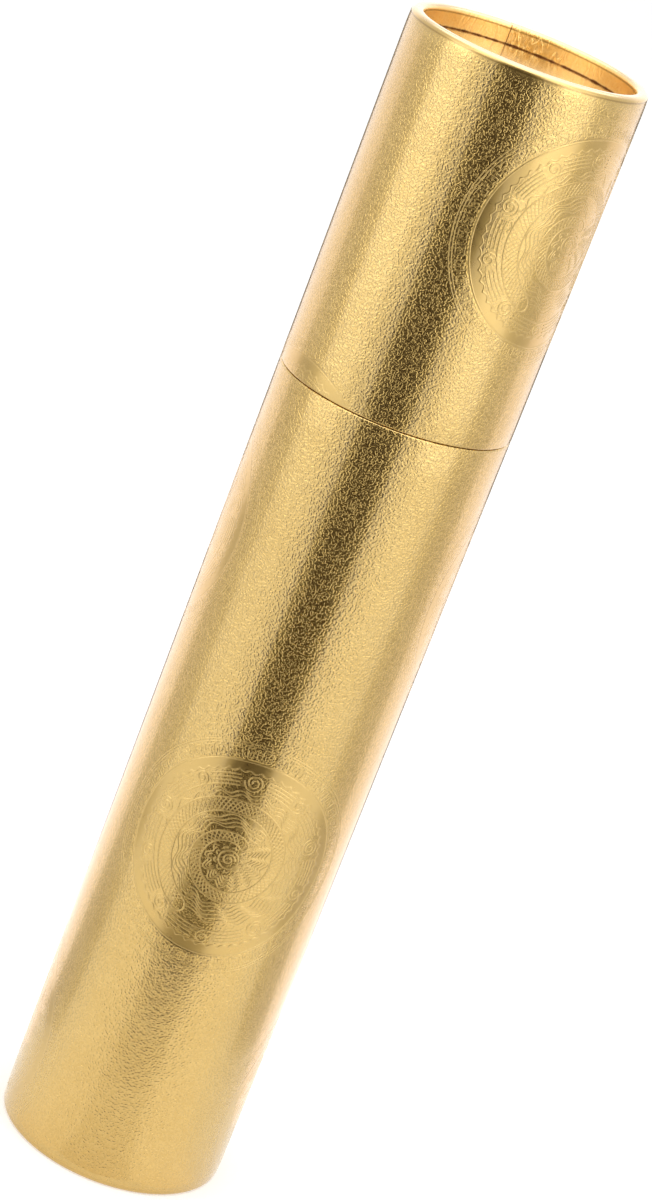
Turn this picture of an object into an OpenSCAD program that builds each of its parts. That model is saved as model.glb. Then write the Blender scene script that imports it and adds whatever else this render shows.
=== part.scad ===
/* [Tube] */
// Outside diameter of the closed tube over its paper, without the embossing
tube_d = 70; // [60:0.5:100]
// Height of the base, from the floor to its mouth
base_h = 250; // [200:1:500]
// Height of the lid, from its mouth to its top rim
lid_h = 105.9; // [90:0.1:200]
// Wall of the two wound board tubes
board_wall = 2.8; // [2:0.1:4]
// Gap left at the seam when the lid is on
seam_gap = 0.1; // [0.05:0.05:0.5]

/* [Foil paper] */
// Thickness of the foil-faced paper
foil_t = 0.4; // [0.2:0.05:0.5]
// Glue line between glued pieces
glue_t = 0.05; // [0.02:0.01:0.1]
// Length of paper turned in at each mouth
mouth_turn_in = 12; // [6:0.5:20]
// Length of paper turned in at each closed end, from the rim
end_turn_in = 16; // [12:0.5:25]
// Outside rounding of the rolled rims at the closed ends
rim_round = 1.3; // [0.8:0.05:1.6]
// Outside rounding of the edges at the two mouths
mouth_round = 0.6; // [0.5:0.05:1]
// Step down beside the edge of the paper where its ends overlap
overlap_step = 0.12; // [0.05:0.01:0.15]
// Where the paper of the base overlaps, in degrees round from the front
base_overlap_az = 200; // [120:1:240]
// Where the paper of the lid overlaps, in degrees round from the front
lid_overlap_az = 194; // [120:1:240]

/* [Ends] */
// Depth of each end disc below its rim
recess = 6; // [3:0.1:10]
// Thickness of the board in the end discs
end_board_t = 2; // [1:0.1:3]
// Length of the disc's foil turned over the edge of its board
end_skirt = 1.8; // [1:0.1:2.5]
// Outside rounding of the disc's foil at its edge
disc_round = 0.6; // [0.4:0.05:1]

/* [Neck] */
// Wall of the wound neck tube
neck_wall = 1.5; // [1:0.1:2]
// Length of neck that stands out of the base
neck_proud = 60; // [30:1:80]
// Length of neck glued inside the base
neck_seated = 60; // [30:1:120]
// Clearance between the neck and the paper turned in at the mouths
neck_clearance = 0.2; // [0.1:0.05:0.3]
// Rounding of the neck's edges
neck_round = 0.4; // [0.2:0.05:0.5]

/* [Embossing] */
// Height that the embossed lines stand out of the paper
emboss_h = 0.12; // [0.05:0.01:0.2]
// Width of an embossed line
line_w = 0.6; // [0.4:0.05:1]
// Radius of the picture field in a roundel
field_r = 29; // [20:0.5:30]
// Width of the smooth ring round the picture field
ring_w = 2.2; // [1:0.1:3]
// Width of the fret border outside the ring
border_w = 5.6; // [3:0.1:6]
// Number of frets in the border
fret_count = 36; // [24:1:60]
// Width of one fret
fret_w = 3.1; // [1.5:0.1:3.5]
// Space between the ring, the scrolls and the coil in the picture
picture_gap = 1.2; // [0.8:0.1:2]
// Radius of a cloud scroll
scroll_r = 2.9; // [1.5:0.1:3.5]
// Radius at which a scroll's line ends
scroll_eye_r = 0.6; // [0.4:0.1:1]
// Number of scrolls round the coil
scroll_count = 5; // [3:1:7]
// Turn of the coil from its outer to its inner end, in degrees
coil_turn = 560; // [360:10:720]
// Radius of the small ring in the middle of the picture
hub_r = 2.9; // [1.5:0.1:4]
// Space between that ring and the coil's inner end
hub_gap = 2.9; // [1:0.1:4]
// Distance between roundels round the tube, on the flat sheet
column_pitch = 65; // [60:0.5:80]
// Distance between rows of roundels along the tube
row_pitch = 86.5; // [78:0.5:100]
// Where the front roundel of the base is, in degrees round from the front
base_roundel_az = 5.3; // [-20:0.1:20]
// Height of the front roundel of the base above the floor
base_roundel_z = 113; // [60:0.5:150]
// Where the whole roundel of the lid is, in degrees round from the front
lid_roundel_az = 55.7; // [30:0.1:80]
// Height of the whole roundel of the lid above the lid's mouth
lid_roundel_z = 62.5; // [45:0.5:70]
// Plain strip between a rounded edge and the embossing
edge_plain = 0.4; // [0.2:0.05:1]

/* [Hidden] */
$fn = 96;

gold = [0.86, 0.69, 0.36];
deep_gold = [0.88, 0.62, 0.24];
kraft = [0.70, 0.58, 0.43];
grey_board = [0.62, 0.60, 0.56];

// Radii, from the outside inwards
outer_r = tube_d / 2;
board_r = outer_r - foil_t - glue_t;
board_bore_r = board_r - board_wall;
lining_r = board_bore_r - glue_t - foil_t;
neck_r = lining_r - neck_clearance;
disc_r = lining_r - glue_t;

// Heights
lid_z = base_h + seam_gap;
total_h = lid_z + lid_h;
skin = foil_t + glue_t;

// Roundels
ring_r = field_r + ring_w;
border_r = ring_r + border_w;
scroll_middle_r = field_r - picture_gap - scroll_r;
coil_r = scroll_middle_r - scroll_r - picture_gap;
degrees = 180 / PI;

// Straight steps in a ring, in the hub's ring, in the coil and in a scroll
ring_steps = 36;
hub_steps = 12;
coil_steps = 30;
scroll_steps = 8;

// Length by which a cutting shape runs past a face
past = 1;

// A profile with its low and high corners rounded by true arcs
module rounded_profile(x0, x1, z0, z1, low_r, high_r) {
    translate([x0, z0 + low_r]) square([x1 - x0, z1 - z0 - low_r - high_r]);
    translate([x0 + low_r, z0]) square([x1 - x0 - 2 * low_r, low_r]);
    translate([x0 + high_r, z1 - high_r]) square([x1 - x0 - 2 * high_r, high_r]);
    for (x = [x0 + low_r, x1 - low_r]) translate([x, z0 + low_r]) circle(r = low_r);
    for (x = [x0 + high_r, x1 - high_r]) translate([x, z1 - high_r]) circle(r = high_r);
}

// Board tube of a part of the given height, closed end down
module board_tube(height) {
    rotate_extrude() rounded_profile(
        board_bore_r, board_r, skin, height - skin, rim_round - skin, mouth_round - skin
    );
}

// Paper round that tube, turned in over its rim and over its mouth
module paper(height) {
    rotate_extrude() difference() {
        rounded_profile(lining_r, outer_r, 0, height, rim_round, mouth_round);
        rounded_profile(
            lining_r + foil_t, outer_r - foil_t, foil_t, height - foil_t,
            rim_round - foil_t, mouth_round - foil_t
        );
        translate([lining_r - skin, end_turn_in])
            square([skin + foil_t, height - end_turn_in - mouth_turn_in]);
    }
}

// The step beside the overlap: a flat that starts at the edge and runs out into the wall
module overlap_cut(az, low, high) {
    run_out = 2 * sqrt(2 * outer_r * overlap_step);
    rotate([0, 0, az]) translate([0, -outer_r - past, low])
        cube([run_out, past + overlap_step, high - low]);
}

// Board disc of an end, outer face down at the recess
module end_board() {
    translate([0, 0, recess + skin]) cylinder(r = disc_r - skin, h = end_board_t);
}

// Foil over that disc and its edge
module end_foil() {
    translate([0, 0, recess]) rotate_extrude() difference() {
        union() {
            translate([0, disc_round]) square([disc_r, skin + end_skirt - disc_round]);
            square([disc_r - disc_round, disc_round]);
            translate([disc_r - disc_round, disc_round]) circle(r = disc_round);
        }
        translate([0, foil_t]) square([disc_r - foil_t, skin + end_skirt]);
    }
}

// A point of the flat sheet, seen from the front once the sheet is rolled round the tube
function rolled(p) = [outer_r * sin(p.x / outer_r * degrees), p.y];
function polar(r, a) = [r * cos(a), r * sin(a)];

// Points to one side of a path, half a line's width away
function beside(path, w) = [
    for (i = [0:len(path) - 1])
        let(along = path[min(i + 1, len(path) - 1)] - path[max(i - 1, 0)])
        path[i] + w / 2 * [-along.y, along.x] / norm(along)
];

// An embossed line along a path on the flat sheet
module stroke(path) {
    left = beside(path, line_w);
    right = beside(path, -line_w);
    last = len(path) - 1;
    polygon([for (p = concat(left, [for (i = [last:-1:0]) right[i]])) rolled(p)]);
}

// A closed round line of outer radius r
module ring(r, steps) {
    polygon(
        [for (edge = [r, r - line_w], i = [0:steps - 1]) rolled(polar(edge, i * 360 / steps))],
        [for (edge = [0, 1]) [for (i = [0:steps - 1]) edge * steps + i]]
    );
}

// The border's frets: square hooks that stand side by side round the ring
module frets() {
    middle_r = ring_r + (border_w - line_w) / 2;
    half = fret_w / 2;
    hook = [[-half, half / 2], [-half, -half], [half, -half], [half, half]];
    for (k = [0:fret_count - 1])
        stroke([for (p = hook) polar(middle_r + p.y, k * 360 / fret_count + p.x / middle_r * degrees)]);
}

// A path that winds in from radius r0 to r1 round a centre
function spiral(centre, r0, r1, start, turn, steps) = [
    for (i = [0:steps]) let(f = i / steps) centre + polar(r0 + (r1 - r0) * f, start + turn * f)
];

// The picture: a coil with cloud scrolls in its bends
module picture() {
    coil_start = 250;
    scroll_start = 20;
    scroll_turn = 400;
    stroke(spiral([0, 0], coil_r, hub_r + hub_gap, coil_start, -coil_turn, coil_steps));
    for (i = [0:scroll_count - 1]) {
        a = scroll_start + i * 360 / scroll_count;
        middle = polar(scroll_middle_r, a);
        stroke(spiral(middle, scroll_r, scroll_eye_r, a + 90, scroll_turn, scroll_steps));
    }
    ring(hub_r, hub_steps);
}

module roundel() {
    ring(border_r, ring_steps);
    ring(ring_r, ring_steps);
    ring(field_r, ring_steps);
    frets();
    picture();
}

// Roundels in staggered rows, cut off short of the sheet's edges between low and high
module embossing(first_az, first_z, low, high, overlap_az) {
    reach = (border_r + line_w) / outer_r * degrees;
    plain = edge_plain / outer_r * degrees;
    step_run = acos(1 - overlap_step / outer_r);
    first_end = overlap_az - 360 + step_run + plain;
    last_end = overlap_az - plain;
    columns = ceil(PI * tube_d / column_pitch);
    rows = ceil(base_h / row_pitch);
    for (column = [-columns:columns], row = [-rows:rows]) {
        az = first_az + column * column_pitch / outer_r * degrees;
        z = first_z + row * row_pitch;
        from = max(-reach, first_end - az);
        to = min(reach, last_end - az);
        staggered = (column + row) % 2 == 0;
        shows = z + ring_r > low && z - ring_r < high && to > from;
        if (staggered && shows)
            rotate([0, 0, az]) intersection() {
                translate([0, 0, z]) rotate([90, 0, 0]) linear_extrude(outer_r + past) roundel();
                rotate([0, 0, from - 90]) rotate_extrude(angle = to - from)
                    translate([outer_r - foil_t / 2, low]) square([foil_t / 2 + emboss_h, high - low]);
            }
    }
}

module base_tube() {
    color(kraft) board_tube(base_h);
}

module base_wrap() {
    color(gold) {
        difference() {
            paper(base_h);
            overlap_cut(base_overlap_az, -past, base_h + past);
        }
        embossing(
            base_roundel_az, base_roundel_z, rim_round + edge_plain,
            base_h - mouth_round - edge_plain, base_overlap_az
        );
    }
}

module base_end_board() {
    color(grey_board) end_board();
}

module base_end_foil() {
    color(deep_gold) end_foil();
}

module neck_tube() {
    color(kraft) rotate_extrude() rounded_profile(
        neck_r - neck_wall, neck_r, base_h - neck_seated, base_h + neck_proud, neck_round, neck_round
    );
}

// Turns a part made closed end down so that its closed end is the top of the tube
module upturned() {
    translate([0, 0, total_h]) mirror([0, 0, 1]) children();
}

module lid_tube() {
    color(kraft) upturned() board_tube(lid_h);
}

module lid_wrap() {
    color(gold) {
        difference() {
            upturned() paper(lid_h);
            overlap_cut(lid_overlap_az, lid_z - past, total_h + past);
        }
        embossing(
            lid_roundel_az, lid_z + lid_roundel_z, lid_z + mouth_round + edge_plain,
            total_h - rim_round - edge_plain, lid_overlap_az
        );
    }
}

module lid_end_board() {
    color(grey_board) upturned() end_board();
}

module lid_end_foil() {
    color(deep_gold) upturned() end_foil();
}

base_tube();
base_wrap();
base_end_board();
base_end_foil();
neck_tube();
lid_tube();
lid_wrap();
lid_end_board();
lid_end_foil();
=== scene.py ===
"""Looks of a gold foil poster tube: grained, embossed paper over wound board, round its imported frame."""

import logging
import math
from abc import ABC, abstractmethod
from dataclasses import dataclass, field, replace
from enum import Enum
from typing import Sequence

import bpy
from mathutils import Matrix, Vector


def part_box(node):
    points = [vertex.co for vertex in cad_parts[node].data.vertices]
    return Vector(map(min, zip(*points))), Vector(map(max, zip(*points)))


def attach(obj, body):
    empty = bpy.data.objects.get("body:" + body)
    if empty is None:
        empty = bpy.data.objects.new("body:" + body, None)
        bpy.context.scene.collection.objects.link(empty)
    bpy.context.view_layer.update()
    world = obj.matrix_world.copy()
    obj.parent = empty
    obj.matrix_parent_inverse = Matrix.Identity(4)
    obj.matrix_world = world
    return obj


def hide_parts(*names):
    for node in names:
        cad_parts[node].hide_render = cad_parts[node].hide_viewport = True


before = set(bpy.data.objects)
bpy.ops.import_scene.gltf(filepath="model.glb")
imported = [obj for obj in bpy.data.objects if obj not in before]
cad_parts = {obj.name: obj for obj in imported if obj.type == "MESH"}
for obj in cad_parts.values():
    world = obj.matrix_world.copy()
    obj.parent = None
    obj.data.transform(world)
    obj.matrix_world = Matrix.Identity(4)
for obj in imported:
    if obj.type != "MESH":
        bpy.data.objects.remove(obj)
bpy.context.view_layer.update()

MM = 0.001

log = logging.getLogger("poster_tube")

Point = tuple[float, float]
Path = list[Point]
Socket = bpy.types.NodeSocket
# What goes into a node's input: another node's output, a number or a colour
Feed = Socket | float | tuple


@dataclass(frozen=True)
class Roundel:
    """Where one roundel is pressed, and how deep: those round the sides hardly show in the photo."""

    azimuth: float
    height: float
    relief: float = 1.0


class ClosedEnd(Enum):
    """The end of a part that its disc closes."""

    BELOW = "below"
    ABOVE = "above"


@dataclass(frozen=True)
class TubeSizes:
    """Sizes that the pieces share, in metres, as in part.scad. The parts' heights come from the frame."""

    radius: float = 35.0 * MM
    lining_radius: float = 31.3 * MM
    paper: float = 0.4 * MM
    rim_round: float = 1.3 * MM
    mouth_round: float = 0.6 * MM
    end_turn_in: float = 16.0 * MM
    mouth_turn_in: float = 12.0 * MM
    recess: float = 6.0 * MM
    disc_radius: float = 31.0 * MM
    disc_skirt: float = 2.25 * MM
    disc_round: float = 1.0 * MM
    lap_step: float = 0.12 * MM
    shoulder: float = 6.0 * MM
    shoulder_drop: float = 0.26 * MM


SIZES = TubeSizes()

# Millimetres between the staggered roundels round and along the tube, and how far one reaches each way
COLUMN_PITCH, ROW_PITCH = 65.0, 86.5
REACH_ROUND, REACH_ALONG = 37.4, 36.0
SIDE_RELIEF = 0.5
# Edges sharper than this many degrees stay sharp, on a piece and on the beads
PIECE_ANGLE, BEAD_ANGLE = 40.0, 60.0


def leave_edit_mode() -> None:
    """Goes back to object mode and deselects everything."""
    if bpy.context.object and bpy.context.object.mode != "OBJECT":
        bpy.ops.object.mode_set(mode="OBJECT")
    bpy.ops.object.select_all(action="DESELECT")


def upright(points: Sequence[Point], low: float, high: float, closed: ClosedEnd) -> Path:
    """Sets a profile that starts at the closed end upright.

    Args:
        points: Points as (radius, distance from the closed end).
        low: Height of the part's lower end.
        high: Height of its upper end.
        closed: Which of them is the closed one.

    Returns:
        Points as (radius, height).
    """
    if closed is ClosedEnd.ABOVE:
        return [(r, high - z) for r, z in points]
    return [(r, low + z) for r, z in points]


def work_on(piece: bpy.types.Object) -> None:
    """Makes one object the only selected and the active one.

    Args:
        piece: That object.
    """
    leave_edit_mode()
    piece.select_set(True)
    bpy.context.view_layer.objects.active = piece


def edit_all(piece: bpy.types.Object) -> None:
    """Opens one object in edit mode with everything selected.

    Args:
        piece: That object.
    """
    work_on(piece)
    bpy.ops.object.mode_set(mode="EDIT")
    bpy.ops.mesh.select_all(action="SELECT")


def add_object(name: str, data: bpy.types.ID) -> bpy.types.Object:
    """Puts a new object into the scene.

    Args:
        name: Its name.
        data: Its mesh, curve, lamp or camera.

    Returns:
        The object.
    """
    made = bpy.data.objects.new(name, data)
    bpy.context.scene.collection.objects.link(made)
    return made


def apply_modifier(piece: bpy.types.Object, kind: str, **settings: object) -> None:
    """Adds a modifier to a piece and applies it.

    Args:
        piece: The object that gets the modifier.
        kind: The modifier's type.
        **settings: Its settings, by name.
    """
    work_on(piece)
    modifier = piece.modifiers.new(kind.title(), kind)
    for name, value in settings.items():
        setattr(modifier, name, value)
    bpy.ops.object.modifier_apply(modifier=modifier.name)


def finish_piece(piece: bpy.types.Object, body: str, smooth_angle: float = PIECE_ANGLE) -> None:
    """Shades a piece, puts its place into its mesh and hangs it on its body.

    Args:
        piece: The finished mesh object.
        body: The body of the frame that carries it.
        smooth_angle: Edges sharper than this many degrees stay sharp.
    """
    work_on(piece)
    bpy.ops.object.transform_apply(location=True, rotation=True, scale=True)
    bpy.ops.object.shade_smooth_by_angle(angle=math.radians(smooth_angle))
    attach(piece, body)
    log.info("%s: %d faces, on %s", piece.name, len(piece.data.polygons), body)


def arc(middle: Point, radius: float, start: float, end: float, steps: int) -> Path:
    """Points along a round arc, from one angle in degrees to another."""
    return spiral(middle, radius, radius, start, end - start, steps)


def polar(middle: Point, radius: float, turn: float) -> Point:
    """Gives the point at a distance and an angle in degrees from a middle."""
    angle = math.radians(turn)
    return middle[0] + radius * math.cos(angle), middle[1] + radius * math.sin(angle)


def spiral(middle: Point, first: float, last: float, start: float, turn: float, steps: int) -> Path:
    """Points along a path that winds round a middle.

    Args:
        middle: Its centre.
        first: Radius where it starts.
        last: Radius where it ends.
        start: Angle of its first point in degrees.
        turn: Degrees that it winds.
        steps: Number of straight steps.

    Returns:
        The steps + 1 points.
    """
    shares = (i / steps for i in range(steps + 1))
    return [polar(middle, first + (last - first) * f, start + turn * f) for f in shares]


def turned(name: str, profile: Sequence[Point], steps: int = 360) -> bpy.types.Object:
    """Turns a profile round the Z axis by extruding a circle from one point to the next.

    Args:
        name: Name of the new object.
        profile: Points as (radius, height).
        steps: Number of steps round the axis.

    Returns:
        The open surface, in one mesh object.
    """
    leave_edit_mode()
    radius, height = profile[0]
    bpy.ops.mesh.primitive_circle_add(vertices=steps, radius=radius, location=(0, 0, height))
    piece = bpy.context.object
    piece.name = piece.data.name = name
    bpy.ops.object.transform_apply(location=True, rotation=False, scale=False)
    edit_all(piece)
    for new_radius, new_height in profile[1:]:
        lift = {"value": (0, 0, new_height - height)}
        bpy.ops.mesh.extrude_edges_move(TRANSFORM_OT_translate=lift)
        share = new_radius / radius
        bpy.ops.transform.resize(value=(share, share, 1), center_override=(0, 0, new_height))
        radius, height = new_radius, new_height
    leave_edit_mode()
    return piece


class Tree:
    """A shader node tree that is filled in reading order."""

    def __init__(self, tree: bpy.types.NodeTree) -> None:
        """Wraps the node tree of a material, a world or a group."""
        self.tree = tree
        self.count = 0

    @classmethod
    def group(cls, name: str, inputs: dict[str, str], outputs: dict[str, str]) -> "Tree":
        """Starts a new node group.

        Args:
            name: Its name.
            inputs: Its input sockets, as name and socket type.
            outputs: Its output sockets, as name and socket type.

        Returns:
            The group's tree, with its input and output nodes in place.
        """
        tree = bpy.data.node_groups.new(name, "ShaderNodeTree")
        for way, sockets in (("INPUT", inputs), ("OUTPUT", outputs)):
            for label, kind in sockets.items():
                tree.interface.new_socket(label, in_out=way, socket_type=kind)
        made = cls(tree)
        made.source = made.node("NodeGroupInput").outputs
        made.target = made.node("NodeGroupOutput").inputs
        return made

    def node(self, kind: str, **settings: object) -> bpy.types.Node:
        """Adds a node and gives it its settings.

        Args:
            kind: The node's type.
            **settings: Its settings, by name.

        Returns:
            The new node.
        """
        made = self.tree.nodes.new(kind)
        made.location = (200 * (self.count % 8), -260 * (self.count // 8))
        self.count += 1
        for name, value in settings.items():
            setattr(made, name, value)
        return made

    def feed(self, target: Socket, value: Feed) -> None:
        """Links an output to an input, or sets the input to a value.

        Args:
            target: The input.
            value: The output, number or colour for it.
        """
        if isinstance(value, Socket):
            self.tree.links.new(value, target)
        else:
            target.default_value = value

    def filled(self, kind: str, inputs: dict, **settings: object) -> bpy.types.Node:
        """Adds a node and feeds its inputs.

        Args:
            kind: The node's type.
            inputs: What goes into its inputs, by their names or numbers.
            **settings: Its settings, by name.

        Returns:
            The new node.
        """
        made = self.node(kind, **settings)
        for name, value in inputs.items():
            self.feed(made.inputs[name], value)
        return made

    def math(self, operation: str, *values: Feed, clamp: bool = False) -> Socket:
        """Adds a Math node with one to three inputs and gives its result."""
        inputs = dict(enumerate(values))
        return self.filled("ShaderNodeMath", inputs, operation=operation, use_clamp=clamp).outputs[0]

    def ramp(
        self, value: Feed, low: float, high: float, to_low: float = 0.0, to_high: float = 1.0
    ) -> Socket:
        """Adds a smooth step that gives to_low below low and to_high above high."""
        inputs = dict(enumerate((value, low, high, to_low, to_high)))
        return self.filled("ShaderNodeMapRange", inputs, interpolation_type="SMOOTHSTEP").outputs[0]

    def noise(
        self, point: Feed, scale: Feed, detail: float = 2.0, roughness: float = 0.5, distortion: Feed = 0.0
    ) -> Socket:
        """Adds a noise.

        Args:
            point: Where it is read.
            scale: How many features it has to the metre.
            detail: How many finer layers it has.
            roughness: How strong those are.
            distortion: How far its features are bent.

        Returns:
            Its value.
        """
        inputs = {"Vector": point, "Scale": scale, "Detail": detail}
        inputs |= {"Roughness": roughness, "Distortion": distortion}
        return self.filled("ShaderNodeTexNoise", inputs).outputs["Fac"]

    def mix_colour(self, share: Feed, first: Feed, second: Feed) -> Socket:
        """Adds a mix of two colours with so large a share of the second."""
        inputs = {0: share, 6: first, 7: second}
        return self.filled("ShaderNodeMix", inputs, data_type="RGBA").outputs[2]

    def place(self, group: "Tree", **inputs: Feed) -> bpy.types.NodeOutputs:
        """Places a group with its inputs by name, with _ for each space, and gives its outputs."""
        named = {name.replace("_", " "): value for name, value in inputs.items()}
        return self.filled("ShaderNodeGroup", named, node_tree=group.tree).outputs


FLOAT = "NodeSocketFloat"
VECTOR = "NodeSocketVector"


def unrolled_group() -> Tree:
    """Group that gives the place of a point of the wall on the flat sheet.

    Returns:
        The group. Overlap is where the sheet ends, in radians round from the front.
    """
    group = Tree.group(
        "Unrolled sheet",
        {"Point": VECTOR, "Radius": FLOAT, "Overlap": FLOAT},
        {"Across": FLOAT, "Along": FLOAT, "From axis": FLOAT},
    )
    x, y, z = group.filled("ShaderNodeSeparateXYZ", {0: group.source["Point"]}).outputs
    turn = group.math("ARCTAN2", x, group.math("MULTIPLY", y, -1.0))
    first = group.math("SUBTRACT", group.source["Overlap"], math.tau)
    behind = group.math("LESS_THAN", turn, first)
    turn = group.math("MULTIPLY_ADD", behind, math.tau, turn)
    group.feed(group.target["Across"], group.math("MULTIPLY", turn, group.source["Radius"]))
    group.feed(group.target["Along"], z)
    squares = group.math("MULTIPLY_ADD", y, y, group.math("MULTIPLY", x, x))
    group.feed(group.target["From axis"], group.math("SQRT", squares))
    return group


def distance_group() -> Tree:
    """Group that gives a sheet point's distance from one roundel's middle, if that is the nearest so far.

    Returns:
        The group. Nearest is the distance from the roundels before this one.
    """
    group = Tree.group(
        "Roundel distance",
        {"Nearest": FLOAT, "Across": FLOAT, "Along": FLOAT, "Middle across": FLOAT, "Middle along": FLOAT},
        {"Distance": FLOAT},
    )
    source = group.source
    across = group.math("SUBTRACT", source["Across"], source["Middle across"])
    along = group.math("SUBTRACT", source["Along"], source["Middle along"])
    squares = group.math("MULTIPLY_ADD", across, across, group.math("MULTIPLY", along, along))
    distance = group.math("SQRT", squares)
    group.feed(group.target["Distance"], group.math("MINIMUM", distance, source["Nearest"]))
    return group


def grain_group() -> Tree:
    """Group for the foil's leather grain: worm-like ridges with finer wrinkles between them.

    Returns:
        The group. Pitch is the ridges' distance in metres, and Twist bends them.
    """
    group = Tree.group(
        "Leather grain",
        {"Point": VECTOR, "Pitch": FLOAT, "Twist": FLOAT},
        {"Height": FLOAT, "Crests": FLOAT},
    )
    scale = group.math("DIVIDE", 1.0, group.source["Pitch"])
    point, twist = group.source["Point"], group.source["Twist"]
    value = group.noise(point, group.math("MULTIPLY", scale, 1.25), 0.0, 0.5, twist)
    worm = group.ramp(value, 0.35, 0.65, 0.0, 1.0)
    fine = group.noise(point, group.math("MULTIPLY", scale, 2.6), 1.0, 0.5, twist)
    swell = group.noise(point, group.math("MULTIPLY", scale, 0.35), 2.0)
    height = group.math("MULTIPLY_ADD", swell, 0.6, group.math("MULTIPLY_ADD", fine, 0.2, worm))
    group.feed(group.target["Height"], height)
    group.feed(group.target["Crests"], worm)
    return group


@dataclass(frozen=True)
class Groups:
    """The node groups that the finishes share, each made once."""

    unrolled: Tree = field(default_factory=unrolled_group)
    distance: Tree = field(default_factory=distance_group)
    grain: Tree = field(default_factory=grain_group)


class SurfaceTree(Tree):
    """The node tree of a new material, with the shared groups at hand."""

    def __init__(self, name: str, groups: Groups) -> None:
        """Makes the material.

        Args:
            name: Its name.
            groups: The shared node groups.
        """
        self.material = bpy.data.materials.new(name)
        self.material.use_nodes = True
        self.material.node_tree.nodes.clear()
        super().__init__(self.material.node_tree)
        self.groups = groups
        self.point = self.node("ShaderNodeTexCoord").outputs["Object"]

    def surface(self, colour: Feed, height: Feed, relief: float) -> bpy.types.Node:
        """Adds the shader with its bump and ends the tree with it.

        Args:
            colour: The colour's socket.
            height: The bump's socket.
            relief: How high the bump is in metres where that socket gives 1.

        Returns:
            The Principled shader.
        """
        bump = self.filled("ShaderNodeBump", {"Strength": 1.0, "Distance": relief, "Height": height})
        inputs = {"Base Color": colour, "Normal": bump.outputs[0]}
        shader = self.filled("ShaderNodeBsdfPrincipled", inputs)
        self.filled("ShaderNodeOutputMaterial", {"Surface": shader.outputs[0]})
        return shader


Colour = tuple[float, float, float, float]


@dataclass(frozen=True)
class Finish(ABC):
    """A finish of one or more pieces. Scales are features to the metre, and turns are radians."""

    name: str

    def material(self, groups: Groups) -> bpy.types.Material:
        """Makes the material.

        Args:
            groups: The shared node groups.

        Returns:
            The material, with its nodes in place.
        """
        tree = SurfaceTree(self.name, groups)
        self.fill(tree)
        return tree.material

    @abstractmethod
    def fill(self, tree: SurfaceTree) -> None:
        """Adds the nodes to the material's tree."""


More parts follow.
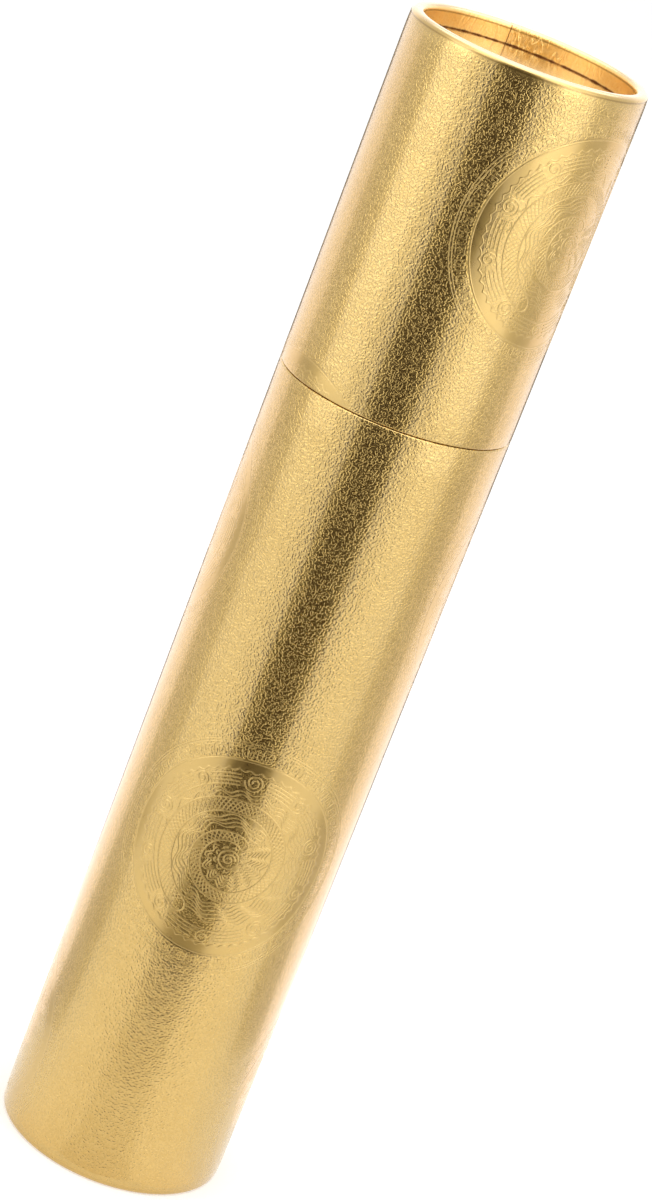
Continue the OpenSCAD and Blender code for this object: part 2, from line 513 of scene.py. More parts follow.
@dataclass(frozen=True)
class FoilFinish(Finish):
    """Gold foil paper with a clear lacquer."""

    colour: Colour = (0.66, 0.468, 0.172, 1.0)
    # Darker tone: random clouds, and painted shade in the grain's grooves
    deep: Colour = (0.55, 0.367, 0.110, 1.0)
    # Paler colour of the painted highlight on the rim's rounding
    rim_highlight: Colour = (0.76, 0.57, 0.33, 1.0)
    roughness: float = 0.23
    coat: float = 0.8
    coat_roughness: float = 0.12
    grain_height: float = 0.068 * MM
    pitch: float = 0.80 * MM
    overlap: float = 200.0
    roundels: tuple[Roundel, ...] = ()
    smooth_radius: float = 31.2 * MM
    picture_radius: float = 27.8 * MM
    picture_grain: float = 0.45
    creased: bool = False
    rim: float = 0.0
    # Strength of the painted shade line at the fold
    fold: float = 0.7
    joint: float = 0.0
    # The grain's bends, and where it starts and is full, from the closed rim
    twist: float = 0.4
    grain_start: Point = (0.8 * MM, 4.0 * MM)
    # The tone: its clouds' size, and the shares of the clouds and of the painted highlight on the grain's
    # ridges
    cloud_scale: float = 60.0
    tone_shares: Point = (0.6, 0.35)
    # The painted shade line along the fold under the rim: how far it is from the rim, and its width
    fold_shade_line: Point = (1.5 * MM, 0.45 * MM)
    fold_shade_colour: Colour = (0.26, 0.15, 0.035, 1.0)
    # Painted highlight on the rim's rounding: where it starts to fade and is gone, and how strong it is
    rim_highlight_edge: Point = (0.2 * MM, 0.9 * MM)
    rim_highlight_share: float = 0.8
    # Patches of other roughness, and what is added where there is no grain
    patch_scale: float = 400.0
    patch_range: float = 0.12
    plain_roughness: float = 0.06
    # Creases and crumples of turned-in paper, and their growth before the sheet's last edge
    crease_scale: float = 420.0
    crease_width: float = 0.09
    crease_stretch: float = 0.3
    crumple_scale: float = 900.0
    crumple_share: float = 1.2
    busy_turn: Point = (0.6, 0.35)
    busy_range: Point = (0.3, 1.2)
    # Painted shade: a dark line beside that edge, and a ragged one deep in the joint with the disc
    lap_shade_line: Point = (0.004, 0.014)
    lap_shade_share: float = 0.8
    joint_shade_line: Point = (0.45 * MM, 1.0 * MM)
    joint_shade_scale: float = 350.0
    joint_shade_range: float = 0.8 * MM
    shade_line_colour: Colour = (0.10, 0.025, 0.003, 1.0)

    def fill(self, tree: SurfaceTree) -> None:
        """Adds the grain, the tone with its painted highlight on the grain's ridges, the painted shade line
        at the fold and the painted highlight on the rim.

        Args:
            tree: The material's tree.
        """
        grain = tree.place(tree.groups.grain, Point=tree.point, Pitch=self.pitch, Twist=self.twist)
        from_rim = self.from_rim(tree)
        amount = tree.math("MULTIPLY", self.grain_mask(tree), tree.ramp(from_rim, *self.grain_start))
        height = self.creases(tree) if self.creased else tree.math("MULTIPLY", grain["Height"], amount)
        # Painted highlight and shade: the grain's ridges are painted lighter and the grooves between them
        # darker, over random clouds of tone
        from_clouds, from_crest_highlight = self.tone_shares
        clouds = tree.math("MULTIPLY", tree.noise(tree.point, self.cloud_scale, 3.0), from_clouds)
        crest_highlight = tree.math("MULTIPLY", grain["Crests"], amount)
        tone = tree.math("MULTIPLY_ADD", crest_highlight, from_crest_highlight, clouds, clamp=True)
        colour = tree.mix_colour(tone, self.deep, self.colour)
        # Painted shade: a dark line along the fold under the rim
        fold_shade_place, fold_shade_width = self.fold_shade_line
        from_fold = tree.math("ABSOLUTE", tree.math("SUBTRACT", from_rim, fold_shade_place))
        fold = tree.ramp(from_fold, 0.0, fold_shade_width, self.fold, 0.0)
        colour = tree.mix_colour(fold, colour, self.fold_shade_colour)
        # Painted highlight: the rim's rounding is painted paler
        rim_highlight = tree.ramp(from_rim, *self.rim_highlight_edge, self.rim_highlight_share, 0.0)
        colour = tree.mix_colour(rim_highlight, colour, self.rim_highlight)
        if self.creased:
            colour = self.edge_shade(tree, colour)
        patches = tree.noise(tree.point, self.patch_scale, 3.0)
        least = self.roughness - self.patch_range / 2
        rough = tree.math("MULTIPLY_ADD", patches, self.patch_range, least)
        rough = tree.math("MULTIPLY_ADD", tree.math("SUBTRACT", 1.0, amount), self.plain_roughness, rough)
        shader = tree.surface(colour, height, self.grain_height)
        tree.feed(shader.inputs["Roughness"], rough)
        shader.inputs["Metallic"].default_value = 1.0
        shader.inputs["Coat Weight"].default_value = self.coat
        shader.inputs["Coat Roughness"].default_value = self.coat_roughness

    def sheet(self, tree: SurfaceTree, radius: float) -> bpy.types.NodeOutputs:
        """Places the group that unrolls the sheet, as if it had a given radius."""
        last = math.radians(self.overlap)
        return tree.place(tree.groups.unrolled, Point=tree.point, Radius=radius, Overlap=last)

    def creases(self, tree: SurfaceTree) -> Socket:
        """Adds the upright creases of paper turned in over a rim, stronger before the sheet's last edge.

        Args:
            tree: The material's tree.

        Returns:
            Their height.
        """
        last = math.radians(self.overlap)
        sheet = self.sheet(tree, 1.0)
        across = tree.math("MULTIPLY", sheet["Across"], SIZES.lining_radius)
        along = tree.math("MULTIPLY", sheet["Along"], self.crease_stretch)
        point = tree.filled("ShaderNodeCombineXYZ", {0: across, 1: along}).outputs[0]
        fold = tree.noise(point, self.crease_scale, 2.0, 0.55, 0.5)
        from_crease = tree.math("ABSOLUTE", tree.math("SUBTRACT", fold, 0.5))
        crease = tree.ramp(from_crease, 0.0, self.crease_width, 1.0, 0.0)
        crumple = tree.noise(tree.point, self.crumple_scale, 3.0, 0.6, 0.8)
        start, full = self.busy_turn
        busy = tree.ramp(sheet["Across"], last - start, last - full, *self.busy_range)
        return tree.math("MULTIPLY", tree.math("MULTIPLY_ADD", crumple, self.crumple_share, crease), busy)

    def edge_shade(self, tree: SurfaceTree, colour: Feed) -> Socket:
        """Paints shade on the lining: a shadow line beside the sheet's last edge, and shade deep in the
        joint with the end disc.

        Args:
            tree: The material's tree.
            colour: The foil's colour.

        Returns:
            The colour with the shade in it.
        """
        sheet = self.sheet(tree, 1.0)
        from_lap = tree.math("SUBTRACT", math.radians(self.overlap), sheet["Across"])
        lap = tree.ramp(from_lap, *self.lap_shade_line, self.lap_shade_share, 0.0)
        off = tree.math("ABSOLUTE", tree.math("SUBTRACT", sheet["Along"], self.joint))
        ragged = tree.math("MULTIPLY_ADD", tree.noise(tree.point, self.joint_shade_scale), self.joint_shade_range, off)
        joint = tree.ramp(ragged, *self.joint_shade_line, 1.0, 0.0)
        return tree.mix_colour(tree.math("MAXIMUM", lap, joint), colour, self.shade_line_colour)

    def from_rim(self, tree: SurfaceTree) -> Socket:
        """Gives how far a point is above or below the closed rim."""
        height = tree.filled("ShaderNodeSeparateXYZ", {0: tree.point}).outputs[2]
        return tree.math("ABSOLUTE", tree.math("SUBTRACT", height, self.rim))

    def grain_mask(self, tree: SurfaceTree) -> Socket | float:
        """Adds the grain's mask: none on the roundels' rings, and less inside them.

        Args:
            tree: The material's tree.

        Returns:
            How much grain there is, from 0 to 1.
        """
        if not self.roundels:
            return 1.0
        sheet = self.sheet(tree, SIZES.radius)
        nearest = 1.0
        for roundel in self.roundels:
            nearest = tree.place(
                tree.groups.distance,
                Nearest=nearest,
                Across=sheet["Across"],
                Along=sheet["Along"],
                Middle_across=SIZES.radius * math.radians(roundel.azimuth),
                Middle_along=roundel.height,
            )["Distance"]
        ring, picture = self.smooth_radius, self.picture_radius
        outside = tree.ramp(nearest, ring, ring + 0.5 * MM)
        inside = tree.ramp(nearest, picture - 0.7 * MM, picture, self.picture_grain, 0.0)
        return tree.math("ADD", outside, inside)


@dataclass(frozen=True)
class BoardFinish(Finish):
    """Spiral-wound or pressed board of recycled fibre."""

    colour: Colour = (0.42, 0.28, 0.16, 1.0)
    dark: Colour = (0.30, 0.19, 0.10, 1.0)
    winding: float = 58.0 * MM
    wound: bool = True
    relief: float = 0.06 * MM
    roughness: float = 0.82
    fibre_scale: float = 900.0
    speck_scale: float = 2600.0
    cloud_scale: float = 70.0
    seam_width: float = 0.012

    def fill(self, tree: SurfaceTree) -> None:
        """Adds the fibres, the clouds and the winding's seam.

        Args:
            tree: The material's tree.
        """
        fibre = tree.noise(tree.point, self.fibre_scale, 5.0, 0.7)
        speck = tree.noise(tree.point, self.speck_scale, 2.0, 0.6)
        cloud = tree.noise(tree.point, self.cloud_scale, 3.0)
        tone = tree.math("MULTIPLY_ADD", fibre, 0.5, tree.math("MULTIPLY", cloud, 0.5), clamp=True)
        height = tree.math("MULTIPLY_ADD", speck, 0.5, fibre)
        if self.wound:
            sheet = tree.place(tree.groups.unrolled, Point=tree.point, Radius=SIZES.radius, Overlap=math.pi)
            rise = self.winding / (math.tau * SIZES.radius)
            turn = tree.math("MULTIPLY_ADD", sheet["Across"], rise, sheet["Along"])
            seam = tree.math("PINGPONG", tree.math("DIVIDE", turn, self.winding), 0.5)
            groove = tree.ramp(seam, 0.0, self.seam_width)
            height = tree.math("MULTIPLY_ADD", groove, 2.0, height)
            tone = tree.math("MULTIPLY", tone, tree.math("MULTIPLY_ADD", groove, 0.6, 0.4))
        shader = tree.surface(tree.mix_colour(tone, self.dark, self.colour), height, self.relief)
        shader.inputs["Roughness"].default_value = self.roughness


@dataclass(frozen=True)
class Motif:
    """Line drawing of a roundel, in millimetres round its middle: a coil among clouds in a fret border."""

    field: float = 29.0
    ring: float = 31.2
    border: float = 36.8
    frets: int = 48
    coil_start: float = 250.0
    coil_turn: float = -560.0
    coil_radii: Point = (20.8, 5.8)
    coil_halves: Point = (2.3, 1.4)
    coil_ends: Point = (0.014, 0.03)
    # Pitch of the scales, and how far each leans over
    scale_pitch: float = 1.35
    scale_lean: float = 1.6
    # Flowing lines: their distances from the coil, their height and length, and where they may run
    wave_offsets: tuple[float, ...] = (3.3, 4.3, 5.3, 6.3, 7.3, 8.3, -3.2, -4.2, -5.2, -6.2, -7.2, -8.2)
    wave_height: float = 0.7
    wave_length: float = 5.4
    wave_room: Point = (4.9, 22.3)

    def lines(self) -> list[tuple[float, Path]]:
        """Draws the whole roundel.

        Returns:
            Each line's weight and points. A line that ends where it starts is closed.
        """
        border = [arc((0, 0), self.border - inset, 0, 360, 120) for inset in (0.3, 1.1)]
        ring = [arc((0, 0), self.ring - 0.3, 0, 360, 108), self.cloud_edge()]
        edge, *net = self.coil()
        strong = ring + [edge] + self.scrolls() + self.hub()
        groups = ((1.0, strong), (0.85, self.waves()), (0.72, net), (0.6, border + self.hooks()))
        return [(weight, path) for weight, paths in groups for path in paths]

    def cloud_edge(self) -> Path:
        """Draws the scalloped line round the picture.

        Returns:
            Its points.
        """
        lobes, steps, depth, inset = 56, 4, 0.9, 0.5
        dips = [depth * abs(math.sin(math.pi * i / steps)) for i in range(lobes * steps + 1)]
        turn = 360 / (lobes * steps)
        return [polar((0, 0), self.field - inset - dip, turn * i) for i, dip in enumerate(dips)]

    def hooks(self) -> list[Path]:
        """Draws the squared spirals of the fret border.

        Returns:
            Each spiral's points.
        """
        h, middle = 1.45, 33.35
        hook = [
            (-h, -h), (-h, 0), (-h, h), (0, h), (h, h), (h, 0), (h, -0.75 * h), (0.35 * h, -0.75 * h),
            (-0.3 * h, -0.75 * h), (-0.3 * h, 0.3 * h), (0.35 * h, 0.3 * h), (0.35 * h, -0.2 * h),
        ]
        turns = [360 * k / self.frets for k in range(self.frets)]
        return [[polar((0, 0), middle + y, a + math.degrees(x / middle)) for x, y in hook] for a in turns]

    def beside_coil(self, share: float, offset: float) -> Point:
        """Gives the point so far outwards from the coil's middle line, at a share of the way in along it."""
        radius = self.coil_radius(share) + offset
        return polar((0, 0), radius, self.coil_start + self.coil_turn * share)

    def coil_radius(self, share: float) -> float:
        """Gives how far the coil's middle line is from the roundel's middle."""
        outer, inner = self.coil_radii
        return outer + (inner - outer) * share

    def coil_half(self, share: float) -> float:
        """Gives half the width of the coil's band, which narrows to rounded ends.

        Args:
            share: Share of the way in along the coil.

        Returns:
            Half the width, in millimetres.
        """
        wide, narrow = self.coil_halves
        full = wide + (narrow - wide) * share
        first, last = self.coil_ends
        near_end = min(share / first, (1 - share) / last, 1.0)
        return full * math.sqrt(max(1 - (1 - near_end) ** 2, 0.0))

    def coil(self) -> list[Path]:
        """Draws the coil's two edges and the net of scales between them.

        Returns:
            The closed line of the edges, and after it the lines of the net.
        """
        first, last = self.coil_ends
        shares = [first * (i / 6) ** 2 for i in range(6)]
        shares += [first + (1 - first - last) * i / 104 for i in range(105)]
        shares += [1 - last * ((6 - i) / 6) ** 2 for i in range(1, 7)]
        out = [self.beside_coil(share, self.coil_half(share)) for share in shares]
        back = [self.beside_coil(share, -self.coil_half(share)) for share in reversed(shares)]
        lines = [out + back[1:]]
        share = 0.02
        while share < 0.95:
            half = self.coil_half(share) - 0.3
            length = self.coil_radius(share) * math.radians(abs(self.coil_turn))
            reach = self.scale_lean * half / length
            for way in (1, -1):
                offsets = (-half, 0.0, half)
                lines.append([self.beside_coil(share + way * reach * o / half / 2, o) for o in offsets])
            share += self.scale_pitch / length
        return lines

    def waves(self) -> list[Path]:
        """Draws the flowing lines that fill the space between the coil's turns.

        Returns:
            Each stretch of them that is drawn.
        """
        lines = []
        for number, offset in enumerate(self.wave_offsets):
            run: Path = []
            for i in range(281):
                share = i / 280
                radius = self.coil_radius(share)
                way = (radius + self.coil_radii[0]) / 2 * math.radians(abs(self.coil_turn)) * share
                swing = math.sin(math.tau * way / self.wave_length + 0.5 * number)
                place = offset + self.wave_height * swing
                if self.wave_shows(share, radius, place, offset):
                    run.append(self.beside_coil(share, place))
                    continue
                if len(run) > 4:
                    lines.append(run)
                run = []
            if len(run) > 4:
                lines.append(run)
        return lines

    def wave_shows(self, share: float, radius: float, place: float, offset: float) -> bool:
        """Tells whether a flowing line has room at a place beside the coil.

        Args:
            share: Share of the way in along the coil.
            radius: How far the coil is from the roundel's middle there.
            place: How far out from the coil the line is there.
            offset: How far out from the coil it is on the whole.

        Returns:
            Whether it is drawn there.
        """
        nearest, farthest = self.wave_room
        if not nearest < radius + place < farthest:
            return False
        if offset < 0:
            return share > 0.37
        outer, inner = self.coil_radii
        turn = 360 / abs(self.coil_turn)
        before = share - turn
        return before < 0 or offset < (outer - inner) * turn - self.coil_half(before) - 0.6

    def scrolls(self) -> list[Path]:
        """Draws the cloud scrolls in the rim of the picture, with their tails.

        Returns:
            The scrolls, each with the lines of its tails.
        """
        lines = []
        for turn in range(20, 380, 72):
            lines.append(spiral(polar((0, 0), 24.9, turn), 2.9, 0.5, turn + 90, 760, 30))
            lines.append(spiral(polar((0, 0), 25.6, turn + 36), 2.2, 0.4, turn + 200, 560, 20))
            lines.append(arc((0, 0), 23.3, turn + 9, turn + 63, 12))
            for radius in (24.4, 25.5, 26.6):
                inset = 0.6 * abs(radius - 25.5)
                lines.append(arc((0, 0), radius, turn + 8.5 + inset, turn + 29, 5))
                lines.append(arc((0, 0), radius, turn + 43, turn + 63.5 - inset, 5))
        return lines

    def hub(self) -> list[Path]:
        """Draws the pearl in the coil's middle."""
        petals = [arc(polar((0, 0), 3.5, turn), 0.65, turn - 90, turn + 90, 4) for turn in range(0, 360, 40)]
        return [arc((0, 0), 2.9, 0, 360, 20), spiral((0, 0), 2.0, 0.4, 0, 540, 16)] + petals


@dataclass(frozen=True)
class Embossing:
    """Raised lines of the roundels on one wrap."""

    roundels: tuple[Roundel, ...]
    low: float
    high: float
    overlap: float
    half_width: float = 0.3 * MM
    rise: float = 0.075 * MM
    root: float = 0.035 * MM
    plain_edge: float = 0.4 * MM
    # Degrees beside the paper's lap that stay plain
    plain_lap: float = 4.75

    def stencil(self) -> bpy.types.Object:
        """Makes one roundel's beads, flat and face up.

        Returns:
            The mesh object.
        """
        shape = bpy.data.curves.new("bead", "CURVE")
        outline = shape.splines.new("POLY")
        w, top = self.half_width, self.rise
        corners = [(-w, -self.root), (-0.35 * w, top), (0.35 * w, top), (w, -self.root)]
        outline.points.add(len(corners) - 1)
        for point, (x, y) in zip(outline.points, corners):
            point.co = (x, y, 0, 1)
        outline.use_cyclic_u = True
        bead = add_object("bead", shape)
        drawing = bpy.data.curves.new("roundel", "CURVE")
        drawing.dimensions = "2D"
        drawing.fill_mode = "NONE"
        drawing.bevel_mode = "OBJECT"
        drawing.bevel_object = bead
        drawing.use_fill_caps = True
        for weight, path in Motif().lines():
            closed = math.dist(path[0], path[-1]) < 1e-6
            path = path[:-1] if closed else path
            line = drawing.splines.new("POLY")
            line.points.add(len(path) - 1)
            for point, (x, y) in zip(line.points, path):
                point.co = (x * MM, y * MM, 0, 1)
                point.radius = weight
            line.use_cyclic_u = closed
        work_on(add_object("roundel", drawing))
        bpy.ops.object.convert(target="MESH")
        bpy.data.objects.remove(bead)
        return bpy.context.object

    def build(self, name: str) -> bpy.types.Object:
        """Lays the roundels on the flat sheet, trims them to its edges and rolls the sheet up.

        Args:
            name: Name of the new piece.

        Returns:
            The beads, in one mesh object.
        """
        stencil = self.stencil()
        copies = []
        for roundel in self.roundels:
            copy = add_object("roundel", stencil.data.copy())
            copy.location = (SIZES.radius * math.radians(roundel.azimuth), roundel.height, 0)
            copy.scale.z = roundel.relief
            copies.append(copy)
        bpy.data.objects.remove(stencil)
        work_on(copies[0])
        for copy in copies:
            copy.select_set(True)
        bpy.ops.object.transform_apply(location=True, rotation=False, scale=True)
        bpy.ops.object.join()
        sheet = bpy.context.object
        sheet.name = sheet.data.name = name
        end = SIZES.radius * math.radians(self.overlap)
        start = end - math.tau * SIZES.radius + math.radians(self.plain_lap) * SIZES.radius
        self.trim(sheet, (start, 0), (-1, 0))
        self.trim(sheet, (end - self.plain_edge, 0), (1, 0))
        self.trim(sheet, (0, self.low), (0, -1))
        self.trim(sheet, (0, self.high), (0, 1))
        work_on(sheet)
        bpy.ops.transform.rotate(value=math.radians(-90), orient_axis="X", center_override=(0, 0, 0))
        bpy.ops.object.transform_apply(location=True, rotation=True, scale=True)
        width = max(v.co.x for v in sheet.data.vertices) - min(v.co.x for v in sheet.data.vertices)
        bend = {"deform_method": "BEND", "deform_axis": "Z", "angle": width / SIZES.radius}
        apply_modifier(sheet, "SIMPLE_DEFORM", **bend)
        sheet.location = (0, -SIZES.radius, 0)
        return sheet

    def trim(self, sheet: bpy.types.Object, place: Point, away: Point) -> None:
        """Cuts the flat sheet along a straight edge and closes the cut.

        Args:
            sheet: The flat beads.
            place: A point of the edge.
            away: Direction of what is cut off.
        """
        edit_all(sheet)
        bpy.ops.mesh.bisect(
            plane_co=(*place, 0), plane_no=(*away, 0), use_fill=True, clear_outer=True, threshold=1e-7
        )
        leave_edit_mode()


@dataclass
class Wrap:
    """Foil paper round one part of the tube, turned in over its rim and over its mouth."""

    node: str
    body: str
    closed: ClosedEnd
    overlap: int
    roundels: tuple[Roundel, ...]
    # Plain paper from the closed rim and from the mouth to the beads
    plain: Point = (4.5 * MM, 1.0 * MM)
    # Depth of the lap's step at each degree past its edge, and how far its foot is turned back
    step_shares: tuple[float, ...] = (1.0, 0.75, 0.5, 0.25)
    foot_turn: float = 0.94
    low: float = field(init=False)
    high: float = field(init=False)

    def __post_init__(self) -> None:
        """Reads the part's heights from the frame."""
        low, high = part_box(self.node)
        self.low, self.high = low.z, high.z

    def profile(self) -> Path:
        """Works out the paper's outer face, from the closed end's lining to the mouth's.

        Returns:
            Points as (radius, height above the closed rim).
        """
        s = SIZES
        length = self.high - self.low
        rim, mouth = s.rim_round, s.mouth_round
        inner, outer = s.lining_radius, s.radius
        deep = [(inner, s.end_turn_in - i * MM) for i in range(int((s.end_turn_in - rim) / MM))]
        rim_inner = arc((inner + rim, rim), rim, 180, 270, 8)
        rim_outer = arc((outer - rim, rim), rim, 270, 360, 8)
        ring = 0.7 * MM
        wall = [(outer - self.drop(z), z) for z in (rim + ring * i for i in range(1, 7))]
        rim_outer = [(r - self.drop(z), z) for r, z in rim_outer]
        steps = 24
        wall_length = length - s.shoulder - mouth
        wall += [(outer, s.shoulder + wall_length * i / steps) for i in range(steps)]
        mouth_outer = arc((outer - mouth, length - mouth), mouth, 0, 90, 5)
        mouth_inner = arc((inner + mouth, length - mouth), mouth, 90, 180, 5)
        back = [(inner, length - s.mouth_turn_in * i / 4) for i in range(1, 5)]
        return deep + rim_inner + rim_outer + wall + mouth_outer + mouth_inner + back

    def drop(self, height: float) -> float:
        """Gives how far the wall has drawn in at a height above the closed rim, where it rolls over."""
        near = max(1 - height / SIZES.shoulder, 0.0)
        return SIZES.shoulder_drop * near**2

    def build(self) -> bpy.types.Object:
        """Models the paper.

        Returns:
            The closed shell, with its place in its mesh.
        """
        points = upright(self.profile(), self.low, self.high, self.closed)
        paper = turned(self.node + "_paper", points)
        edit_all(paper)
        bpy.ops.mesh.remove_doubles(threshold=0.001 * MM)
        bpy.ops.mesh.normals_make_consistent(inside=False)
        leave_edit_mode()
        if not self.faces_out(paper):
            work_on(paper)
            paper.data.flip_normals()
        outer_count = len(paper.data.vertices)
        apply_modifier(paper, "SOLIDIFY", thickness=SIZES.paper, offset=-1.0, use_even_offset=True)
        self.lap(paper, outer_count)
        return paper

    def lap(self, paper: bpy.types.Object, outer_count: int) -> None:
        """Makes the step where the sheet's last edge lies on its first.

        Args:
            paper: The closed shell.
            outer_count: How many of its first vertices are on its outer face.
        """
        for column, share in enumerate(self.step_shares, start=1):
            turn = math.radians(self.overlap + column)
            side = Vector((math.sin(turn), -math.cos(turn), 0))
            work_on(paper)
            for group in (paper.data.edges, paper.data.polygons):
                group.foreach_set("select", [False] * len(group))
            for vertex in paper.data.vertices:
                flat = Vector((vertex.co.x, vertex.co.y, 0))
                vertex.select = vertex.index < outer_count and flat.angle(side) < 0.001
            bpy.ops.object.mode_set(mode="EDIT")
            bpy.ops.mesh.select_mode(type="VERT")
            bpy.ops.transform.shrink_fatten(value=-share * SIZES.lap_step)
            if column == 1:
                back = math.radians(self.foot_turn)
                bpy.ops.transform.rotate(value=back, orient_axis="Z", center_override=(0, 0, 0))
            leave_edit_mode()

    def line(self, paper: bpy.types.Object, material: bpy.types.Material) -> None:
        """Gives the turned-in paper inside the ends a finish of its own, painted brighter than the foil
        outside and with painted shade lines.

        Args:
            paper: The closed shell.
            material: That finish.
        """
        paper.data.materials.append(material)
        edge = SIZES.lining_radius + 0.45 * MM
        for face in paper.data.polygons:
            if face.center.xy.length < edge:
                face.material_index = 1

    def emboss(self) -> bpy.types.Object:
        """Models the roundels' raised lines.

        Returns:
            The beads, in one mesh object.
        """
        below, above = self.plain if self.closed is ClosedEnd.BELOW else self.plain[::-1]
        embossing = Embossing(self.roundels, self.low + below, self.high - above, self.overlap)
        return embossing.build(self.body + "_embossing")

    def faces_out(self, paper: bpy.types.Object) -> bool:
        """Tells whether the wall's faces point away from the axis."""
        wall = max(paper.data.polygons, key=lambda face: face.area)
        return wall.normal.dot(Vector((wall.center.x, wall.center.y, 0))) > 0


@dataclass
class EndDisc:
    """Foil over the board disc that closes an end, smooth over its edge and slightly dished."""

    node: str
    body: str
    closed: ClosedEnd
    steps: int = 144
    dish: float = 0.08 * MM
    thickness: float = 0.35 * MM

    def build(self) -> bpy.types.Object:
        """Models the foil as a closed cap.

        Returns:
            The cap, with its place in its mesh.
        """
        low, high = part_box(self.node)
        s = SIZES
        edge = arc((s.disc_radius - s.disc_round, s.disc_round), s.disc_round, 0, -90, 6)
        flat = [(s.disc_radius * share, self.dish * (1 - share)) for share in (0.9, 0.7, 0.45, 0.2, 0.01)]
        points = upright([(s.disc_radius, s.disc_skirt), *edge, *flat], low.z, high.z, self.closed)
        cap = turned(self.node + "_cap", points, self.steps)
        work_on(cap)
        bpy.ops.object.mode_set(mode="EDIT")
        bpy.ops.mesh.edge_face_add()
        bpy.ops.mesh.select_all(action="SELECT")
        bpy.ops.mesh.normals_make_consistent(inside=False)
        leave_edit_mode()
        centre = min(cap.data.polygons, key=lambda face: face.center.xy.length)
        if (centre.normal.z > 0) is not (self.closed is ClosedEnd.ABOVE):
            cap.data.flip_normals()
        apply_modifier(cap, "SOLIDIFY", thickness=self.thickness, offset=-1.0, use_even_offset=True)
        return cap


